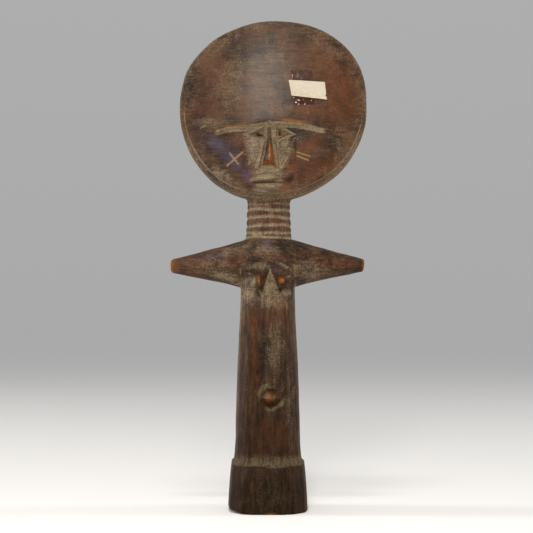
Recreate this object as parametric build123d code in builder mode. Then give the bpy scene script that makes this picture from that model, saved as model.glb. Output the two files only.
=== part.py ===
"""A carved fertility doll with a flat round head, a ringed neck, short arms held straight out,
a tapering trunk and a round foot block, with a small paper label stuck to its forehead.

Row frame, in millimetres: the origin is the centre of the flat underside, +Z is up, the face
looks along -Y, and +X is the doll's own left. The real figure is one block of wood. It is
divided here into the parts that its carver shaped, which meet face to face.
"""

import os
from math import atan2, cos, degrees, hypot, radians, sin, sqrt

from build123d import *

# ---- driving dimensions ----------------------------------------------------------------
# foot block
BASE_HEIGHT = 28.5              # up to the shoulder
BASE_FOOT = (49.0, 47.0)        # width and depth where it stands
BASE_SHOULDER = (45.5, 43.0)
BASE_EDGE = 2.2                 # worn round edge of the shoulder
FOOT_EDGE = 0.8

# trunk, as height, width and depth
CHEST_TOP = 165.0
TRUNK_LEVELS = (
    (BASE_HEIGHT, 40.6, 36.5),
    (66.0, 38.2, 34.5),
    (100.0, 35.8, 32.4),
    (130.0, 33.0, 30.6),
    (146.0, 32.2, 30.0),
    (158.0, 31.0, 28.8),
    (CHEST_TOP, 28.6, 27.4),
)

# arms and chest
ARM_LEVEL = 150.0
ARM_ROOT_X = 16.5               # half the chest's width, where the arms begin
ARM_ROOT = (25.0, 28.4)         # depth and height
TIP_LEVEL = 149.4
RIGHT_TIP_X = -60.0
RIGHT_TIP = (7.0, 7.4)
LEFT_TIP_X = 58.6
LEFT_TIP = (7.4, 8.4)
LEFT_TIP_SLANT = 8.0            # degrees by which the left arm is sawn off square
SAW_ALLOWANCE = 4.0
TIP_EDGE = 1.2

# neck
NECK_SETBACK = 0.6              # the neck stands a little behind the trunk's axis
NECK_TOP = 206.0
NECK_RADIUS_BOTTOM = 13.7
NECK_RADIUS_TOP = 12.8
NAPE_START = (15.0, 186.0)      # from here a slope runs from the neck's back up to the disc
NAPE_END = (2.0, NECK_TOP)
GROOVE_LEVELS = (166.1, 168.9, 173.8, 178.6, 183.2)
GROOVE_WIDTH = 1.7
GROOVE_DEPTH = 0.6

# head
HEAD_CENTRE = (3.2, -1.6, 247.0)
HEAD_TILT = 3.6                 # degrees towards the doll's left
HEAD_LEAN = 4.0                 # degrees backwards
HEAD_RADIUS = 58.2              # of the rim's lower half and its two sides
RIM_SIDE = 22.0                 # degrees by which that arc runs on above the widest level
CROWN_TURN = 12.0               # degrees by which the flat crown is turned to the doll's right
CROWN_SHOULDER = 42.0           # radius of the upper rim's shoulders
CROWN_HEIGHT = 53.0             # of the top above the widest level
FRONT_LEVEL = 14.0              # the front's highest point, ahead of the disc's middle plane
FRONT_DOME = 330.0
BACK_LEVEL = 9.0
BACK_DOME = 560.0
RIM_BEVEL = 2.4
BACK_RIM_EDGE = 1.6

# face, as left-right and up-down places from the head's centre
BROW = ((-35.4, -20.0), (-1.0, -12.4), (34.0, -14.4))
PANEL = ((13.0, -23.0), (11.5, -51.0), (-12.5, -52.5), (-15.0, -25.0))
BROW_SINK = 2.6                 # depth of the face's flat cut below the dome, at the brow
PANEL_FALL = 2.4                # degrees by which that cut slopes back towards the mouth
EYE = ((3.4, -15.4), (14.0, -19.0), (4.0, -23.4))
EYE_LID = ((4.4, -17.4), (9.6, -19.0), (4.6, -21.2))
EYE_AXIS = -0.8
EYE_CUT = 1.0
NOSE_AXIS = -0.7
NOSE_TOP = (-12.6, 2.6, 1.6)    # level, width and height above the face
NOSE_BOTTOM = (-37.8, 9.6, 5.4)
NOSE_ROOT = 1.2                 # how far its sections start inside the face
UPPER_LIP = ((-11.2, -48.6), (-1.0, -44.0), (9.2, -46.6), (-1.0, -48.2))
LOWER_LIP = ((-7.6, -49.9), (0.8, -49.0), (9.2, -50.2), (0.8, -53.4))
LIP_HEIGHT = 1.2
LIP_LEVEL = 6.0                 # a level inside the wood under the whole mouth
SCAR_WIDTH = 1.0
SCAR_DEPTH = 0.7
SCARS = (
    ((-25.6, -39.3), (-17.6, -31.5)),
    ((-24.8, -32.3), (-19.2, -38.6)),
    ((16.3, -29.1), (24.3, -31.3)),
    ((16.4, -31.6), (23.2, -33.8)),
)

# bosses on the trunk
BREAST_CENTRES = {"right_breast": (-8.0, 139.4), "left_breast": (9.2, 138.4)}
BREAST_RADIUS = 5.2
BREAST_TIP_RADIUS = 1.7
BREAST_FRONT = 20.4             # how far its tip stands ahead of the trunk's axis
BOSS_START = 10.0               # a level inside the trunk
NAVEL_CENTRE = (2.0, 69.0)
NAVEL_SIZE = (14.0, 12.4)
NAVEL_TIP_SIZE = (5.0, 4.4)
NAVEL_SKIN = 16.0               # where its flanks start, just inside the trunk
NAVEL_FRONT = 22.8
NAVEL_EDGE = 1.4

# label and the tape under it
LABEL_CORNERS = ((8.6, 14.6), (30.7, 15.2), (32.7, 4.3), (11.0, 4.9))
LABEL_THICKNESS = 0.3
TAPE_CORNERS = ((9.6, 21.2), (22.6, 21.6), (25.4, 0.6), (12.6, -0.2))
TAPE_THICKNESS = 0.2
SKIN_CUT = 8.0                  # a level inside the disc under the whole label
SKIN_REACH = 12.0
SEAM_ASIDE = (90, 0, 0)         # turns a dome's seam and poles away from the disc


def ellipse_on(plane, width, depth):
    """One section of a loft."""
    with BuildSketch(plane) as section:
        Ellipse(width / 2, depth / 2)
    return section.sketch


def crown_arc():
    """Radius of the flat arc over the crown, tangent to both shoulders, and its half angle."""
    gap = HEAD_RADIUS - CROWN_SHOULDER
    across = gap * cos(radians(RIM_SIDE))
    drop = CROWN_HEIGHT - gap * sin(radians(RIM_SIDE))
    radius = (across**2 + drop**2 - CROWN_SHOULDER**2) / (2 * (drop - CROWN_SHOULDER))
    return radius, degrees(atan2(across, radius - drop))


def front_at(across, up):
    """Level of the disc's domed front at a place on the head."""
    return FRONT_LEVEL - FRONT_DOME + sqrt(FRONT_DOME**2 - across**2 - up**2)


def looking(lean):
    """Direction straight out of the tilted head, raised by a lean in degrees."""
    tilt = radians(HEAD_TILT)
    up = sin(radians(lean))
    return (sin(tilt) * up, -cos(radians(lean)), cos(tilt) * up)


def export(part, name):
    part.label = name
    export_step(part, f"parts/{name}.step")


head_across = (cos(radians(HEAD_TILT)), 0, -sin(radians(HEAD_TILT)))
head_plane = Plane(origin=HEAD_CENTRE, x_dir=head_across, z_dir=looking(HEAD_LEAN))
dome_centre = (0, 0, FRONT_LEVEL - FRONT_DOME)

# ---- foot block ------------------------------------------------------------------------
with BuildPart() as base:
    shoulder_plane = Plane.XY.offset(BASE_HEIGHT)
    loft([ellipse_on(Plane.XY, *BASE_FOOT), ellipse_on(shoulder_plane, *BASE_SHOULDER)])
    fillet(base.edges().group_by(Axis.Z)[-1], BASE_EDGE)
    chamfer(base.edges().group_by(Axis.Z)[0], FOOT_EDGE)

# ---- trunk with the chest between the arms ---------------------------------------------
root_plane = Plane(origin=(0, 0, ARM_LEVEL), x_dir=Plane.YZ.x_dir, z_dir=Plane.YZ.z_dir)
tip_plane = Plane(origin=(0, 0, TIP_LEVEL), x_dir=Plane.YZ.x_dir, z_dir=Plane.YZ.z_dir)

with BuildPart() as torso:
    levels = [ellipse_on(Plane.XY.offset(z), width, depth) for z, width, depth in TRUNK_LEVELS]
    loft(levels, ruled=True)
    with BuildSketch(root_plane.offset(-ARM_ROOT_X)):
        Ellipse(ARM_ROOT[0] / 2, ARM_ROOT[1] / 2)
    extrude(amount=2 * ARM_ROOT_X)

# ---- arms ------------------------------------------------------------------------------
with BuildPart() as right_arm:
    loft([
        ellipse_on(root_plane.offset(-ARM_ROOT_X), *ARM_ROOT),
        ellipse_on(tip_plane.offset(RIGHT_TIP_X), *RIGHT_TIP),
    ])
    fillet(right_arm.edges().group_by(Axis.X)[0], TIP_EDGE)

with BuildPart() as left_arm:
    loft([
        ellipse_on(root_plane.offset(ARM_ROOT_X), *ARM_ROOT),
        ellipse_on(tip_plane.offset(LEFT_TIP_X + SAW_ALLOWANCE), *LEFT_TIP),
    ])
    split(bisect_by=tip_plane.offset(LEFT_TIP_X).rotated((0, LEFT_TIP_SLANT, 0)), keep=Keep.BOTTOM)

# ---- head: a disc with a domed front, a flat face cut under the brow, and scars ----------
with BuildPart() as head_disc:
    with BuildSketch(head_plane.offset(-BACK_LEVEL)):
        with BuildLine():
            crown_radius, crown_half = crown_arc()
            start = 180 - RIM_SIDE + CROWN_TURN
            lower = CenterArc((0, 0), HEAD_RADIUS, start, 180 + 2 * RIM_SIDE)
            shoulder_turn = 90 - RIM_SIDE - crown_half
            first = JernArc(lower @ 1, lower % 1, CROWN_SHOULDER, shoulder_turn)
            top = JernArc(first @ 1, first % 1, crown_radius, 2 * crown_half)
            JernArc(top @ 1, top % 1, CROWN_SHOULDER, shoulder_turn)
        make_face()
    extrude(amount=BACK_LEVEL + FRONT_LEVEL)
    with Locations(head_plane.location * Location(dome_centre)):
        Sphere(FRONT_DOME, rotation=SEAM_ASIDE, mode=Mode.INTERSECT)
    with Locations(head_plane.location * Location((0, 0, BACK_DOME - BACK_LEVEL))):
        Sphere(BACK_DOME, rotation=SEAM_ASIDE, mode=Mode.INTERSECT)
    front_rim = head_disc.faces().sort_by(Axis.Y)[0].edges()
    back_rim = head_disc.faces().sort_by(Axis.Y)[-1].edges()
    chamfer(front_rim, RIM_BEVEL)
    fillet(back_rim, BACK_RIM_EDGE)

    # the face, cut flat below the dome, with an arched brow over a narrow panel
    face_level = front_at(0, BROW[1][1]) - BROW_SINK
    face_origin = head_plane.offset(face_level).origin
    face_plane = Plane(face_origin, x_dir=head_across, z_dir=looking(HEAD_LEAN - PANEL_FALL))
    with BuildSketch(face_plane):
        with BuildLine():
            ThreePointArc(*BROW)
            Polyline(BROW[2], *PANEL, BROW[0])
        make_face()
    extrude(amount=SKIN_REACH, mode=Mode.SUBTRACT)

    # an eye is a cut around a raised lid, on both sides of the nose
    with BuildSketch(face_plane.offset(-EYE_CUT)):
        for side in (1, -1):
            Polygon(*[(EYE_AXIS + side * x, y) for x, y in EYE])
            Polygon(*[(EYE_AXIS + side * x, y) for x, y in EYE_LID], mode=Mode.SUBTRACT)
    extrude(amount=EYE_CUT, mode=Mode.SUBTRACT)

    for (x1, y1), (x2, y2) in SCARS:
        middle = ((x1 + x2) / 2, (y1 + y2) / 2)
        with BuildSketch(head_plane.offset(front_at(*middle) - SCAR_DEPTH)):
            with Locations(Location((*middle, 0), (0, 0, degrees(atan2(y2 - y1, x2 - x1))))):
                SlotOverall(hypot(x2 - x1, y2 - y1) + SCAR_WIDTH, SCAR_WIDTH)
        extrude(amount=SKIN_REACH, mode=Mode.SUBTRACT)


# ---- nose: a long wedge from the brow, widest and highest at its foot --------------------
with BuildPart() as nose:
    nose_sections = []
    for level, width, height in (NOSE_TOP, NOSE_BOTTOM):
        foot = face_plane.from_local_coords((NOSE_AXIS, level, 0))
        with BuildSketch(Plane(origin=foot, x_dir=face_plane.x_dir, z_dir=-face_plane.y_dir)) as cut:
            Polygon((-width / 2, -NOSE_ROOT), (width / 2, -NOSE_ROOT), (0, height), align=None)
        nose_sections.append(cut.sketch)
    loft(nose_sections)
    add(head_disc.part, mode=Mode.SUBTRACT)

# ---- lips: two flat pointed ridges -------------------------------------------------------
with BuildPart() as lips:
    with BuildSketch(head_plane.offset(LIP_LEVEL)):
        for left, top, right, bottom in (UPPER_LIP, LOWER_LIP):
            with BuildLine():
                ThreePointArc(left, top, right)
                ThreePointArc(right, bottom, left)
            make_face()
    extrude(amount=front_at(*LOWER_LIP[1]) + LIP_HEIGHT - LIP_LEVEL)
    add(head_disc.part, mode=Mode.SUBTRACT)

# ---- neck: a tapered column with carved grooves, sloping up to the disc behind ----------
with BuildPart() as neck:
    with BuildSketch(Plane.XZ.offset(-NECK_SETBACK)):
        corners = (0, CHEST_TOP), (NECK_RADIUS_BOTTOM, CHEST_TOP), (NECK_RADIUS_TOP, NECK_TOP), (0, NECK_TOP)
        Polygon(*corners, align=None)
        for level in GROOVE_LEVELS:
            climb = (level - CHEST_TOP) / (NECK_TOP - CHEST_TOP)
            skin = NECK_RADIUS_BOTTOM + climb * (NECK_RADIUS_TOP - NECK_RADIUS_BOTTOM)
            with Locations((skin, level)):
                Ellipse(GROOVE_DEPTH, GROOVE_WIDTH / 2, mode=Mode.SUBTRACT)
    revolve(axis=Axis((0, NECK_SETBACK, 0), (0, 0, 1)))
    with BuildSketch(Plane.YZ):
        nape_corner = (2 * NAPE_START[0], NECK_TOP + 1)
        Polygon(NAPE_START, nape_corner, (NAPE_END[0], NECK_TOP + 1), NAPE_END, align=None)
    extrude(amount=NECK_RADIUS_BOTTOM * 2, both=True, mode=Mode.SUBTRACT)
    add(head_disc.part, mode=Mode.SUBTRACT)

# ---- breasts and navel: bosses on the trunk ---------------------------------------------
breasts = {}
for side_name, centre in BREAST_CENTRES.items():
    with BuildPart() as breast:
        with BuildSketch(Plane.XZ.offset(BOSS_START)):
            with Locations(centre):
                Circle(BREAST_RADIUS)
        with BuildSketch(Plane.XZ.offset(BREAST_FRONT)):
            with Locations(centre):
                Circle(BREAST_TIP_RADIUS)
        loft()
        add(torso.part, mode=Mode.SUBTRACT)
    breasts[side_name] = breast.part

with BuildPart() as navel:
    with BuildSketch(Plane.XZ.offset(NAVEL_SKIN)):
        with Locations(NAVEL_CENTRE):
            Ellipse(NAVEL_SIZE[0] / 2, NAVEL_SIZE[1] / 2)
    with BuildSketch(Plane.XZ.offset(NAVEL_FRONT)):
        with Locations(NAVEL_CENTRE):
            Ellipse(NAVEL_TIP_SIZE[0] / 2, NAVEL_TIP_SIZE[1] / 2)
    loft()
    fillet(navel.edges().group_by(Axis.Y)[0], NAVEL_EDGE)
    add(torso.part, mode=Mode.SUBTRACT)

# ---- clear tape and the label stuck on over it, both bent to the dome --------------------
with BuildPart() as clear_tape:
    with BuildSketch(head_plane.offset(SKIN_CUT)):
        Polygon(*TAPE_CORNERS, align=None)
    extrude(amount=SKIN_REACH)
    with Locations(head_plane.location * Location(dome_centre)):
        Sphere(FRONT_DOME + TAPE_THICKNESS, rotation=SEAM_ASIDE, mode=Mode.INTERSECT)
        Sphere(FRONT_DOME, rotation=SEAM_ASIDE, mode=Mode.SUBTRACT)

label_skin = FRONT_DOME + TAPE_THICKNESS + LABEL_THICKNESS
with BuildPart() as paper_label:
    with BuildSketch(head_plane.offset(SKIN_CUT)):
        Polygon(*LABEL_CORNERS, align=None)
    extrude(amount=SKIN_REACH)
    with Locations(head_plane.location * Location(dome_centre)):
        Sphere(label_skin, rotation=SEAM_ASIDE, mode=Mode.INTERSECT)
        Sphere(FRONT_DOME, rotation=SEAM_ASIDE, mode=Mode.SUBTRACT)
    add(clear_tape.part, mode=Mode.SUBTRACT)

# ---- files -------------------------------------------------------------------------------
os.makedirs("parts", exist_ok=True)
export(base.part, "base")
export(torso.part, "torso")
export(right_arm.part, "right_arm")
export(left_arm.part, "left_arm")
export(neck.part, "neck")
export(head_disc.part, "head_disc")
export(nose.part, "nose")
export(lips.part, "lips")
export(breasts["right_breast"], "right_breast")
export(breasts["left_breast"], "left_breast")
export(navel.part, "navel")
export(paper_label.part, "paper_label")
export(clear_tape.part, "clear_tape")
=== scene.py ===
"""Look of a carved fertility doll: one block of dark stained wood, dusty in its hollows.

The wood is sculpted as a distance field in millimetres, in the frame of the CAD part, and meshed
once, so that head, neck, arms, trunk and foot block flow into each other as they do in one block.
The mesh is then sawn at the part's own divisions into closed pieces. On the forehead a blank
paper label lies over a strip of clear tape.
"""

import math
from functools import reduce
from itertools import product

import bmesh
import bpy
import numpy as np
from mathutils import Matrix, Vector


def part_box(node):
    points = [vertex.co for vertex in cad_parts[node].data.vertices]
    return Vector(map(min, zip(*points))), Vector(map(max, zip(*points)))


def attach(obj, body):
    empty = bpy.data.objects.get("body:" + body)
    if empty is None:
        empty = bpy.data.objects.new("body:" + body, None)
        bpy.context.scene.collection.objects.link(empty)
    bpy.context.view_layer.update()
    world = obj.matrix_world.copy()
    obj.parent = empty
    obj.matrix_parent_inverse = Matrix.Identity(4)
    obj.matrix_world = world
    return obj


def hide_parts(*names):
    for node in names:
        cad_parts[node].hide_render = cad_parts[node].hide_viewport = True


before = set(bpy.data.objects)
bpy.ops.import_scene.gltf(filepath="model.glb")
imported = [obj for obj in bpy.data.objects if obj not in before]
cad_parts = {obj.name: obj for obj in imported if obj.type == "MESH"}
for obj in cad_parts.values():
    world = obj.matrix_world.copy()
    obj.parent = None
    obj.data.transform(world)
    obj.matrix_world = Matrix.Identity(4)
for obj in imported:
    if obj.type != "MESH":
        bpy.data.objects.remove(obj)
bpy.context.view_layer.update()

MM = 0.001
GRID_STEP = 0.7  # millimetres between samples of the field
FAR = 1e3  # further off than any place on the doll


# ---- places, from the frame ----
def box_mm(node):
    """Lowest and highest corner of a CAD node, in millimetres."""
    low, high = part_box(node)
    return np.array(low) / MM, np.array(high) / MM


*FOOT_HALF, BASE_TOP = box_mm("base")[1]
CHEST_TOP = box_mm("torso")[1][2]
RIGHT_TIP = -box_mm("right_arm")[0][0]
LEFT_TIP = box_mm("left_arm")[1][0]
NAVEL = box_mm("navel")
NAVEL_PLACE = (NAVEL[0] + NAVEL[1])[::2] / 2  # its middle, across and up
RIGHT_BREAST = box_mm("right_breast")
LEFT_BREAST = box_mm("left_breast")
HEAD_BOX = box_mm("head_disc")

# where the block is sawn into its pieces
NECK_FOOT = CHEST_TOP + 1.9
HEAD_FOOT = HEAD_BOX[0][2] - 0.2
ARM_CUT = 17.0
ARM_LOW = 120.0  # above it, only the arms reach further out than the cut

# head: the disc leans back and tilts to the doll's left, as in the CAD part
HEAD_TILT = math.radians(3.6)
HEAD_LEAN = math.radians(4.0)
HEAD_RADIUS = 58.2
HEAD_RISE = 58.4  # of the disc's centre above its lowest point
HEAD_SETBACK = -1.6
HEAD_CENTRE = np.array(
    (HEAD_BOX[0][0] / 2 + HEAD_BOX[1][0] / 2, HEAD_SETBACK, HEAD_BOX[0][2] + HEAD_RISE)
)
ACROSS = np.array((math.cos(HEAD_TILT), 0, -math.sin(HEAD_TILT)))
OUT = np.array(
    (
        math.sin(HEAD_TILT) * math.sin(HEAD_LEAN),
        -math.cos(HEAD_LEAN),
        math.cos(HEAD_TILT) * math.sin(HEAD_LEAN),
    )
)
UP = np.cross(OUT, ACROSS)


# ---- shape arithmetic ----
def most(*values):
    """The greatest of several values, place by place."""
    return reduce(np.maximum, values)


def smooth_min(a, b, blend):
    """The lesser of two fields, blended over a width: a union with a fillet."""
    h = np.clip(0.5 + 0.5 * (b - a) / blend, 0, 1)
    return b + (a - b) * h - blend * h * (1 - h)


def smooth_max(a, b, blend):
    return -smooth_min(-a, -b, blend)


def ramp(low, high, value):
    """Smooth step from 0 to 1 as value goes from low to high. low may be above high."""
    t = np.clip((value - low) / (high - low), 0, 1)
    return t * t * (3 - 2 * t)


def bell(value, width):
    return np.exp(-((value / width) ** 2))


def direction(degrees):
    return math.cos(math.radians(degrees)), math.sin(math.radians(degrees))


def off(a, b, middle, wide=1, tall=1):
    """Distance from a middle, in units of a width and a height."""
    return np.hypot((a - middle[0]) / wide, (b - middle[1]) / tall)


def curve(at, stations):
    """Smooth curve through (place, value) stations, flat beyond both ends."""
    places, values = (np.array(column, float) for column in zip(*stations))
    grades = np.gradient(values, places)
    at = np.clip(at, places[0], places[-1])
    i = np.clip(np.searchsorted(places, at) - 1, 0, len(places) - 2)
    gap = places[i + 1] - places[i]
    t = (at - places[i]) / gap
    rise = values[i] * (2 * t**3 - 3 * t**2 + 1) + values[i + 1] * (3 * t**2 - 2 * t**3)
    return rise + gap * (grades[i] * (t**3 - 2 * t**2 + t) + grades[i + 1] * (t**3 - t**2))


def noise(points, size, seed):
    """Smooth random values from -1 to 1, with a lump about every size millimetres."""
    cell = points / np.asarray(size, float)
    corner = np.floor(cell).astype(np.int64)
    part = cell - corner
    part = part * part * (3 - 2 * part)
    total = np.zeros(len(points))
    for step in product((0, 1), repeat=3):
        key = (corner + step) @ np.array((73856093, 19349663, 83492791)) + seed * 2654435761
        key = (key ^ (key >> 15)) * 2246822519 & 0xFFFFFFFF
        key = (key ^ (key >> 13)) * 3266489917 & 0xFFFFFFFF
        weight = np.prod(np.where(step, part, 1 - part), axis=1)
        total += weight * (((key >> 8) & 0xFFFF) / 32767.5 - 1)
    return total


def oval(a, b, half_a, half_b, squareness):
    """Radial distance from a rounded-square oval. A squareness of 2 is an ellipse."""
    reach = (np.abs(a / half_a) ** squareness + np.abs(b / half_b) ** squareness) ** (1 / squareness)
    return np.hypot(a, b) * (1 - 1 / np.maximum(reach, 1e-3))


def facets(field, a, b, half_a, half_b, squareness, cuts, blend):
    """Flats that a knife leaves round an oval: pairs of an angle and a depth."""
    dual = squareness / (squareness - 1)
    for angle, depth in cuts:
        na, nb = direction(angle)
        support = (np.abs(half_a * na) ** dual + np.abs(half_b * nb) ** dual) ** (1 / dual)
        field = smooth_max(field, a * na + b * nb - support + depth, blend)
    return field


def triangle(u, v, corners):
    """Distance inside a triangle, negative outside it."""
    (ax, ay), (bx, by), (cx, cy) = corners
    turn = 1 if (bx - ax) * (cy - ay) > (by - ay) * (cx - ax) else -1
    inside = FAR
    for (x1, y1), (x2, y2) in zip(corners, corners[1:] + corners[:1]):
        length = math.hypot(x2 - x1, y2 - y1)
        inside = np.minimum(inside, turn * ((x2 - x1) * (v - y1) - (y2 - y1) * (u - x1)) / length)
    return inside


def stroke(u, v, start, end):
    """Distance from a straight stroke."""
    run = np.subtract(end, start)
    t = np.clip(((u - start[0]) * run[0] + (v - start[1]) * run[1]) / (run @ run), 0, 1)
    return np.hypot(u - start[0] - t * run[0], v - start[1] - t * run[1])


def strokes(u, v, pairs):
    """Distance from the nearest of several straight strokes."""
    return np.min([stroke(u, v, *pair) for pair in pairs], axis=0)


def lens(u, v, left, right, top, bottom, point):
    """Distance inside a lens between two corners, with the heights of its arcs. A point of 1 is sharp."""
    t = (u - left[0]) / (right[0] - left[0])
    line = left[1] + t * (right[1] - left[1])
    arch = np.maximum(4 * t * (1 - t), 0) ** point
    inside = np.minimum(line + top * arch - v, v - line - bottom * arch)
    return np.minimum(inside, 8 * np.minimum(t, 1 - t))


# ---- foot block and trunk ----
TRUNK_SQUARENESS = ((146, 3.1), (152, 2.5), (158, 2.1))
FLATS_FADE = (158, 146)  # heights where the knife's flats start and where they are fully cut
TRUNK_WIDTH = ((20, 21.2), (28, 20.9), (36, 20.2), (66, 19.3), (91, 18.4), (116, 17.2), (131, 16.6),
               (146, 16.5), (154, 15.2), (160, 14.4), (CHEST_TOP + 2, 13.6))
TRUNK_DEPTH = ((20, 19.4), (28, 19.0), (36, 18.6), (66, 18.0), (91, 17.4), (116, 16.7), (131, 16.2),
               (146, 16.1), (153, 15.9), (158, 15.0), (163, 13.8), (CHEST_TOP + 2, 12.6))
TRUNK_CUTS = ((-90, 1.3), (-47, 0.5), (-133, 0.6), (-12, 0.3), (-166, 0.35), (17, 0.35), (43, 0.6),
              (70, 0.6), (98, 1.2), (124, 0.6), (151, 0.6))
BASE_WIDTH = ((0, 24.4), (11, 23.9), (23, 23.0), (29, 22.3))
BASE_CUTS = ((-92, 0.2), (-44, 0.8), (-137, 0.9), (-10, 0.2), (20, 0.5), (60, 0.6), (105, 0.4), (150, 0.5),
             (-175, 0.3))
BASE_SQUARENESS = 2.9
SHOULDER_SLOPE = 1.6  # width of the sloped ledge round the trunk's foot


def trunk(x, y, z):
    half_x = curve(z, TRUNK_WIDTH)
    half_y = curve(z, TRUNK_DEPTH)
    squareness = curve(z, TRUNK_SQUARENESS)
    field = oval(x, y, half_x, half_y, squareness)
    knifed = facets(field, x, y, half_x, half_y, squareness, TRUNK_CUTS, 0.7)
    field = field + (knifed - field) * ramp(*FLATS_FADE, z)
    return smooth_max(field, z - CHEST_TOP - 1.6, 2.5)


def foot_block(x, y, z):
    """The block's top slopes down to its edge, which is lowest in the middle of the front."""
    half_x = curve(z, BASE_WIDTH)
    half_y = half_x * FOOT_HALF[1] / FOOT_HALF[0]
    field = oval(x, y, half_x, half_y, BASE_SQUARENESS)
    field = facets(field, x, y, half_x, half_y, BASE_SQUARENESS, BASE_CUTS, 0.8)
    ledge = BASE_TOP - 0.7 + 2.6 * (x / 19) ** 2 + 0.25 * np.sin(x / 5 + 1)
    slope = (z - ledge + (field + SHOULDER_SLOPE) * 0.9) * 0.75
    field = smooth_max(field, slope, 0.6)
    worn_corner = -0.2 * (x + 13.5) - 0.98 * z
    return smooth_max(smooth_max(field, worn_corner, 0.5), -z, 0.8)


# ---- arms ----
ARM_START = 14.0  # from here both edges of the arms run straight
ARM_EDGES = {  # top and underside, at the root and at the tip
    "right": ((164.9, 153.1), (135.4, 144.3)),
    "left": ((165.7, 153.6), (135.7, 145.1)),
}
ARM_FLARE = 0.8  # drop of the underside at the root, where the top rises half as much
ARM_DEPTH = ((0, 16.3), (9, 15.4), (18, 12.8), (36, 8.9), (60, 3.8))
ARM_CUTS = ((90, 0.5), (58, 0.3), (122, 0.4), (180, 0.4), (-150, 0.5), (-90, 0.5), (-125, 0.4), (-58, 0.4),
            (20, 0.4), (-20, 0.3))
SAW_SLANT = math.radians(8)
TIP_LEVEL = 149.4


def arms(x, y, z):
    """Both arms are one spindle through the chest, sawn off at the doll's left hand."""
    left = x > 0
    tip = np.where(left, LEFT_TIP, RIGHT_TIP)
    along = np.clip((np.abs(x) - ARM_START) / (tip - ARM_START), 0, 1.05)
    top, low = (
        np.where(left, l_root + along * (l_tip - l_root), r_root + along * (r_tip - r_root))
        for (l_root, l_tip), (r_root, r_tip) in zip(ARM_EDGES["left"], ARM_EDGES["right"])
    )
    flare = ARM_FLARE * bell(np.maximum(np.abs(x) - ARM_START, 0), 9.0)
    top = top + flare / 2
    low = low - flare
    half_z = (top - low) / 2
    half_y = curve(np.abs(x), ARM_DEPTH)
    up = z - (top + low) / 2
    squareness = 2.1 + 0.5 * (1 - along)
    field = oval(y, up, half_y, half_z, squareness)
    field = facets(field, y, up, half_y, half_z, squareness, ARM_CUTS, 0.6)
    sawn = (x - LEFT_TIP) * math.cos(SAW_SLANT) - (z - TIP_LEVEL) * math.sin(SAW_SLANT)
    rounded = -x - RIGHT_TIP + 0.2
    return smooth_max(smooth_max(field, sawn, 1.2), rounded, 2.4)


# ---- breasts and navel ----
HOLLOW_TOP = 146.6
HOLLOW_FLOOR = ((-14, 134.5), (-6, 133.0), (-3.4, 130.6), (7.0, 130.6), (9.0, 133.0), (14, 132.0))
HOLLOW_MIDDLE = ((1.6, 147.6), (-4.8, 129.8), (8.4, 129.8))  # the deep triangle between the breasts
ARM_CREASES = (((-16.3, 135.0), (-16.6, 146.5)), ((17.2, 136.0), (16.2, 149.0)))


def hollow_between_breasts(x, y, z):
    """Depth of the recess that the carver cut round and between the breasts."""
    floor = np.interp(x, *zip(*HOLLOW_FLOOR))
    side = ramp(15.5, 10.0, np.abs(x - 0.6))
    ceiling = HOLLOW_TOP + 0.8 * np.sin(x / 2.6) + 0.9 * np.sin(x / 4.1 + 0.6) - 0.02 * x * x
    tall = ramp(ceiling + 2.6, ceiling - 4.5, z) * ramp(floor - 0.5, floor + 0.9, z)
    middle = ramp(-0.2, 1.1, triangle(x, z, HOLLOW_MIDDLE)) * ramp(floor - 0.5, floor + 0.5, z)
    creases = strokes(x, z, ARM_CREASES)
    return (1.6 * side * tall + 1.3 * middle + 0.7 * bell(creases, 0.8)) * (y < 0)


def pyramid(x, y, z, tip, ridge, spread):
    """A knife-cut boss whose flats fall from a short upright ridge: right, left, up and down."""
    dx, dz = x - tip[0], z - tip[2]
    right, left, up, down = spread
    across = smooth_max(dx / right, -dx / left, 0.25)
    along = smooth_max((dz - ridge) / up, (-dz - ridge) / down, 0.25)
    field = smooth_max(across, along, 0.25) + tip[1] - y
    return smooth_max(field * 0.55, y + 9, 0.5)


def breasts(x, y, z):
    """Both tips stand where the CAD bosses end, a little towards each other."""
    right_tip = (RIGHT_BREAST[1][0] - 2.2, RIGHT_BREAST[0][1] + 0.2, RIGHT_BREAST[0][2] + 5.0)
    left_tip = (LEFT_BREAST[0][0] + 3.9, LEFT_BREAST[0][1] + 0.4, LEFT_BREAST[0][2] + 5.2)
    right = pyramid(x, y, z, right_tip, 1.9, (0.62, 0.88, 0.2, 0.72))
    left = pyramid(x, y, z, left_tip, 0.6, (0.56, 0.72, 0.28, 0.65))
    return np.minimum(right, left)


TRUNK_FRONT = -15.6  # where the navel's boss starts
NAVEL_FLATS = (-90, -35, 25, 85, 150, 215)  # degrees round it that the knife's flats face
NAVEL_STRETCH = 1.1  # of the ring round the navel, across


def navel(x, y, z):
    """A rounded boss whose sides are cut into slanting flats."""
    half = (NAVEL[1] - NAVEL[0]) / 2
    dx = x - NAVEL_PLACE[0]
    dz = z - NAVEL_PLACE[1] + 0.2
    dy = (y - TRUNK_FRONT) / (NAVEL[0][1] - TRUNK_FRONT)
    reach = np.sqrt((dx / half[0]) ** 2 + (dz / half[2]) ** 2 + dy**2)
    field = (reach - 1) * 5.4
    for angle in NAVEL_FLATS:
        na, nb = direction(angle)
        flat = 0.8 * (dx * na + dz * nb) + 0.6 * (TRUNK_FRONT - y) - 4.9
        field = smooth_max(field, flat, 0.25)
    return smooth_max(field, y + 12, 0.5)


def navel_ring(x, y, z):
    """Depth of the shallow ring cut round the navel."""
    return 0.7 * bell(off(x, z, NAVEL_PLACE, NAVEL_STRETCH) - 6.2, 1.7) * (y < 0)


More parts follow.
